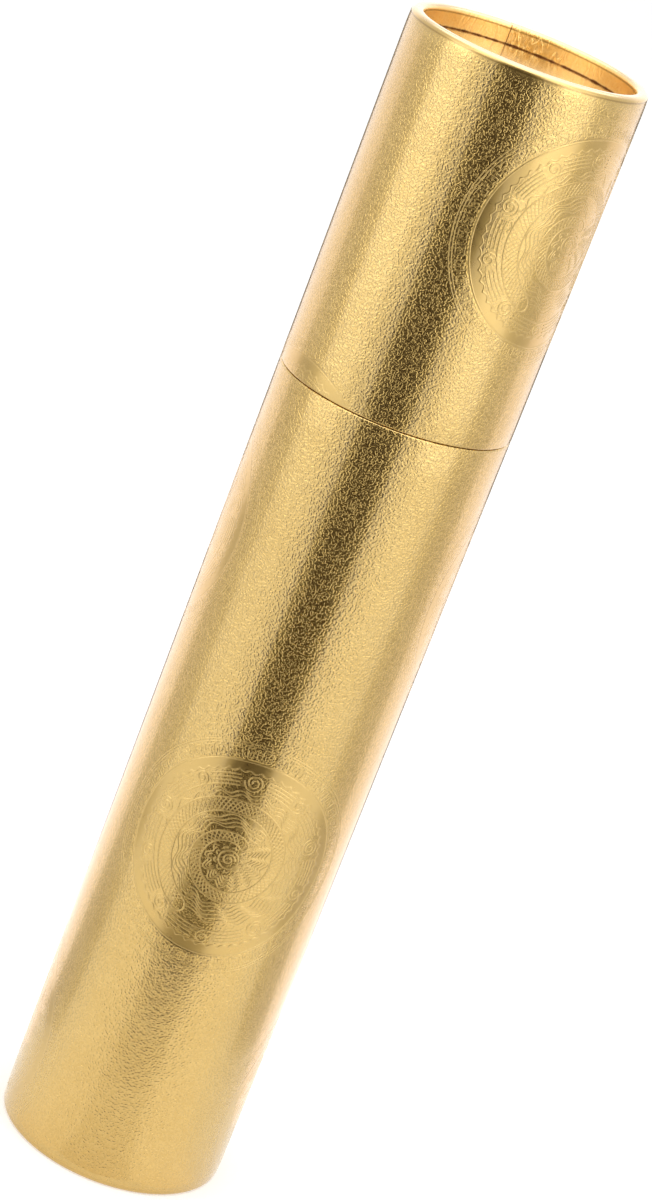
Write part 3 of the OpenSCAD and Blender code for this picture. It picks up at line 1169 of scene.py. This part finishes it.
class Studio:
    """Floor, lamps, world and camera. Turns are in degrees."""

    place = Vector((0.0, -0.9449, 0.4991))
    turn = -0.1455
    pitch = -18.36
    roll = 21.30
    lens = 102.75
    sensor = 36.0
    clip_start = 0.05
    floor_radius = 12.0
    floor_grey = 0.90
    floor_glow = 0.34
    # Strength of the world as a light, and what is added to it where it is seen
    world_level = 0.7
    world_seen = 0.3
    # Lamps that only the foil's gloss sees: azimuth, distance, size, height and tip, level
    gloss_lamps = (
        ("bright_core_left", -60, 0.76, (0.28, 0.12), (0.375, 0.0), 2.1),
        ("bright_core_right", 47, 0.76, (0.28, 0.12), (0.375, 0.0), 2.1),
        ("front_sky", 0, 1.1, (2.6, 0.8), (1.15, 0.0), 1.5),
        ("high_sky", 0, 0.0, (3.0, 3.0), (2.0, 90.0), 1.5),
    )
    # Height of the lying cards over the floor, and the cards' colours
    card_height = 0.003
    dark, cream, warm = (0.075, 0.056, 0.032), (0.86, 0.83, 0.76), (0.9, 0.88, 0.84)
    grey, pale, peach = (0.74, 0.72, 0.68), (0.9, 0.82, 0.79), (0.9, 0.85, 0.81)
    black = (0.06, 0.06, 0.06)
    # Cards: azimuth, nearest and farthest distance, spread to each side, colour and glow
    lying_cards = (
        ("dark_cloth", -1.5, (0.20, 0.80), 21.5, dark, 0.0),
        ("cloth_hem", -1.5, (0.035, 0.11), 20.0, cream, 0.30),
        ("cloth_edge", -1.5, (0.11, 0.20), 20.0, cream, 0.12),
        ("pale_floor_left", -40.5, (0.035, 0.32), 18.5, warm, 0.40),
        ("pale_floor_right", 40.5, (0.035, 0.32), 21.0, warm, 0.44),
        ("side_floor_left", -95.5, (0.09, 0.9), 16.5, grey, 0.0),
        ("side_floor_right", 95.5, (0.12, 0.9), 16.5, grey, 0.0),
        ("side_far_left", -95.5, (0.9, 3.0), 16.5, grey, 0.08),
        ("side_far_right", 95.5, (0.9, 3.0), 16.5, grey, 0.12),
        ("rear_sweep_left", -135.5, (0.05, 3.0), 23.5, pale, 0.68),
        ("rear_sweep_right", 135.5, (0.05, 3.0), 23.5, pale, 0.68),
        ("rear_gap", 180, (0.10, 3.0), 21.0, black, 0.0),
    )
    # The same for standing cards, but with their distance and height
    standing_cards = (
        ("dark_stand", -1.5, (0.80, 1.1), 21.5, dark, 0.0),
        ("backdrop", 180, (3.1, 2.0), 50.0, peach, 0.85),
    )

    def build(self) -> None:
        """Sets up everything round the tube."""
        self.camera()
        self.floor()
        self.world()
        self.lamps()
        self.cards()

    def camera(self) -> None:
        """Puts the camera where the photograph was taken from."""
        data = bpy.data.cameras.new("camera")
        data.lens = self.lens
        data.sensor_width = self.sensor
        data.clip_start = self.clip_start
        camera = add_object("camera", data)
        turn = Matrix.Rotation(math.radians(self.turn), 4, "Z")
        tilt = Matrix.Rotation(math.radians(90 + self.pitch), 4, "X")
        roll = Matrix.Rotation(math.radians(self.roll), 4, "Z")
        camera.matrix_world = Matrix.Translation(self.place) @ turn @ tilt @ roll
        bpy.context.scene.camera = camera

    def floor(self) -> None:
        """Lays a plain white floor."""
        leave_edit_mode()
        bpy.ops.mesh.primitive_circle_add(vertices=96, radius=self.floor_radius, fill_type="NGON")
        floor = bpy.context.object
        floor.name = "floor"
        shader = self.stage_shader(floor, "White floor", (self.floor_grey,) * 3, 0.9, 0.2)
        tree = Tree(floor.active_material.node_tree)
        glow = tree.math("MULTIPLY", self.seen(tree), self.floor_glow)
        tree.feed(shader.inputs["Emission Strength"], glow)

    def stage_shader(
        self, piece: bpy.types.Object, name: str, colour: tuple, roughness: float, specular: float
    ) -> bpy.types.Node:
        """Gives a piece of the stage a plain material that can glow in its own tint.

        Args:
            piece: The floor or a card.
            name: The material's name.
            colour: Its red, green and blue.
            roughness: Its roughness.
            specular: Its Specular IOR Level.

        Returns:
            Its shader.
        """
        material = bpy.data.materials.new(name)
        material.use_nodes = True
        shader = material.node_tree.nodes["Principled BSDF"]
        tint = [part / max(colour) for part in colour]
        for socket, value in (
            ("Base Color", (*colour, 1.0)),
            ("Roughness", roughness),
            ("Specular IOR Level", specular),
            ("Emission Color", (*tint, 1.0)),
        ):
            shader.inputs[socket].default_value = value
        piece.data.materials.append(material)
        return shader

    def world(self) -> None:
        """Lights the scene softly from all round."""
        world = bpy.data.worlds.new("soft room")
        world.use_nodes = True
        background = world.node_tree.nodes["Background"]
        background.inputs["Color"].default_value = (1.0, 0.99, 0.975, 1.0)
        tree = Tree(world.node_tree)
        strength = tree.math("MULTIPLY_ADD", self.seen(tree), self.world_seen, self.world_level)
        tree.feed(background.inputs["Strength"], strength)
        bpy.context.scene.world = world

    def seen(self, tree: Tree) -> Socket:
        """Adds a mask of what the camera sees, directly, in a gloss or through glass.

        Args:
            tree: The node tree of a material or of the world.

        Returns:
            1 for what it sees, and 0 otherwise.
        """
        rays = tree.node("ShaderNodeLightPath").outputs
        gloss = tree.math("MAXIMUM", rays["Is Glossy Ray"], rays["Is Transmission Ray"])
        return tree.math("MAXIMUM", rays["Is Camera Ray"], gloss)

    def lamps(self) -> None:
        """Stands a soft box to each side in front and a lamp above, and adds the lamps that only the foil's
        gloss sees.
        """
        self.panel("soft_box_left", -61, 0.78, (0.46, 0.9), (0.50, 0.0), 0.76)
        self.panel("soft_box_right", 56, 0.78, (0.50, 0.9), (0.50, 0.0), 0.79)
        self.panel("top_lamp", 0, 0.2, (2.4, 2.4), (2.6, 90.0), 1.0).visible_glossy = False
        for lamp in self.gloss_lamps:
            self.panel(*lamp).visible_diffuse = False

    def panel(
        self, name: str, azimuth: float, away: float, size: Point, stand: Point, level: float
    ) -> bpy.types.Object:
        """Adds a lamp panel that faces the tube.

        Args:
            name: The lamp's name.
            azimuth: Where it stands, in degrees round from the front.
            away: Its distance from the tube's axis.
            size: Its width and height.
            stand: How high its middle is, and how many degrees it is tipped downwards.
            level: Brightness of its face, where 1 is white.

        Returns:
            The lamp.
        """
        data = bpy.data.lights.new(name, "AREA")
        data.shape = "RECTANGLE"
        data.size, data.size_y = size
        data.energy = level * math.pi * size[0] * size[1]
        lamp = add_object(name, data)
        lamp.matrix_world = (
            Matrix.Rotation(math.radians(azimuth), 4, "Z")
            @ Matrix.Translation((0, -away, stand[0]))
            @ Matrix.Rotation(math.radians(90 - stand[1]), 4, "X")
        )
        lamp.visible_camera = False
        return lamp

    def cards(self) -> None:
        """Lays and stands the cards that only the foil's gloss sees."""
        for card in self.lying_cards:
            self.card(False, *card)
        for card in self.standing_cards:
            self.card(True, *card)

    def card(
        self,
        standing: bool,
        name: str,
        azimuth: float,
        span: Point,
        spread: float,
        colour: tuple[float, float, float],
        glow: float,
    ) -> None:
        """Adds a card whose sides lie along lines from the tube's axis.

        Args:
            standing: Whether it stands or lies.
            name: Its name.
            azimuth: Its middle, in degrees round from the front.
            span: A lying card's nearest and farthest distance, or a standing one's distance and height.
            spread: Degrees from its middle to each side.
            colour: Its red, green and blue.
            glow: How strongly it glows.
        """
        leave_edit_mode()
        bpy.ops.mesh.primitive_plane_add(size=1.0)
        card = bpy.context.object
        card.name = name
        near, far = span
        wide = math.tan(math.radians(spread))
        for vertex in card.data.vertices:
            outside = vertex.co.y < 0
            if standing:
                away, height = near, 0.0 if outside else far
            else:
                away, height = far if outside else near, self.card_height
            vertex.co = (math.copysign(away * wide, vertex.co.x), -away, height)
        card.rotation_euler.z = math.radians(azimuth)
        shader = self.stage_shader(card, name, colour, 1.0, 0.0)
        shader.inputs["Emission Strength"].default_value = glow
        for ray in ("camera", "diffuse", "transmission", "volume_scatter", "shadow"):
            setattr(card, "visible_" + ray, False)


def places(azimuth: float, height: float, overlap: float, low: float, high: float) -> tuple[Roundel, ...]:
    """Sets out the staggered roundels that show on one wrap.

    Args:
        azimuth: Where the first one is, in degrees round from the front.
        height: Its height in millimetres.
        overlap: Where the sheet ends, in degrees.
        low: Height of the sheet's lower edge in millimetres.
        high: Height of its upper edge in millimetres.

    Returns:
        The roundels, with their heights in metres.
    """
    step = math.degrees(COLUMN_PITCH * MM / SIZES.radius)
    reach = math.degrees(REACH_ROUND * MM / SIZES.radius)
    found = []
    for column in range(-4, 5):
        for row in range(-2, 3):
            middle, level = azimuth + column * step, height + row * ROW_PITCH
            shows = overlap - 360 < middle + reach and middle - reach < overlap
            fits = low < level + REACH_ALONG and level - REACH_ALONG < high
            if (column + row) % 2 == 0 and shows and fits:
                found.append(Roundel(middle, level * MM, 1.0 if column == row == 0 else SIDE_RELIEF))
    return tuple(found)


def main() -> None:
    """Builds the tube's looks and the studio round it."""
    logging.basicConfig(level=logging.INFO, format="%(message)s")
    scene = bpy.context.scene
    scene.view_settings.view_transform = "Standard"
    groups = Groups()
    Studio().build()
    # The end discs' foil is painted more orange than the wrap's, as painted light bounced between the gold
    # walls of the recess
    orange, deep_orange = (0.68, 0.43, 0.14, 1.0), (0.58, 0.35, 0.10, 1.0)
    faint = 0.01 * MM
    plain = FoilFinish("plain_foil", orange, deep_orange, grain_height=faint).material(groups)
    beaded = FoilFinish("beaded_foil", grain_height=faint, roughness=0.31).material(groups)
    base_roundels = places(azimuth=5.3, height=113.0, overlap=200, low=0, high=250)
    lid_roundels = places(azimuth=55.7, height=312.6, overlap=194, low=250, high=356)
    base = Wrap("base_wrap", "base", ClosedEnd.BELOW, 200, base_roundels)
    lid = Wrap("lid_wrap", "lid", ClosedEnd.ABOVE, 194, lid_roundels)
    for wrap in (base, lid):
        paper = wrap.build()
        rim, inward = (wrap.low, 1) if wrap.closed is ClosedEnd.BELOW else (wrap.high, -1)
        # Strength of the painted shade line at the fold: faint on the base, strong on the lid
        fold = 0.1 if wrap.closed is ClosedEnd.BELOW else 0.7
        foil = FoilFinish(
            wrap.node + "_foil", roundels=wrap.roundels, overlap=wrap.overlap, rim=rim, fold=fold
        )
        paper.data.materials.append(foil.material(groups))
        joint = rim + inward * SIZES.recess
        # The lining is painted brighter and more orange than the same foil outside: painted light bounced
        # between the gold walls of the recess
        lining = replace(
            foil, name=wrap.node + "_lining", colour=(1.0, 0.72, 0.30, 1), deep=(0.95, 0.60, 0.18, 1),
            grain_height=0.12 * MM, roughness=0.36, creased=True, joint=joint,
        )
        wrap.line(paper, lining.material(groups))
        finish_piece(paper, wrap.body)
        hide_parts(wrap.node)
        beads = wrap.emboss()
        beads.data.materials.append(beaded)
        finish_piece(beads, wrap.body, BEAD_ANGLE)
    for disc in (
        EndDisc("base_end_foil", "base", ClosedEnd.BELOW), EndDisc("lid_end_foil", "lid", ClosedEnd.ABOVE)
    ):
        cap = disc.build()
        cap.data.materials.append(plain)
        finish_piece(cap, disc.body)
        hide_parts(disc.node)
    board = BoardFinish("wound_board").material(groups)
    grey = BoardFinish("grey_board", (0.35, 0.33, 0.30, 1), (0.25, 0.24, 0.21, 1), wound=False)
    grey = grey.material(groups)
    for name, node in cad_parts.items():
        if name.endswith(("tube", "board")):
            node.data.materials.clear()
            node.data.materials.append(grey if name.endswith("board") else board)
            log.info("%s: dressed in board", name)


if __name__ == "__main__":
    main()
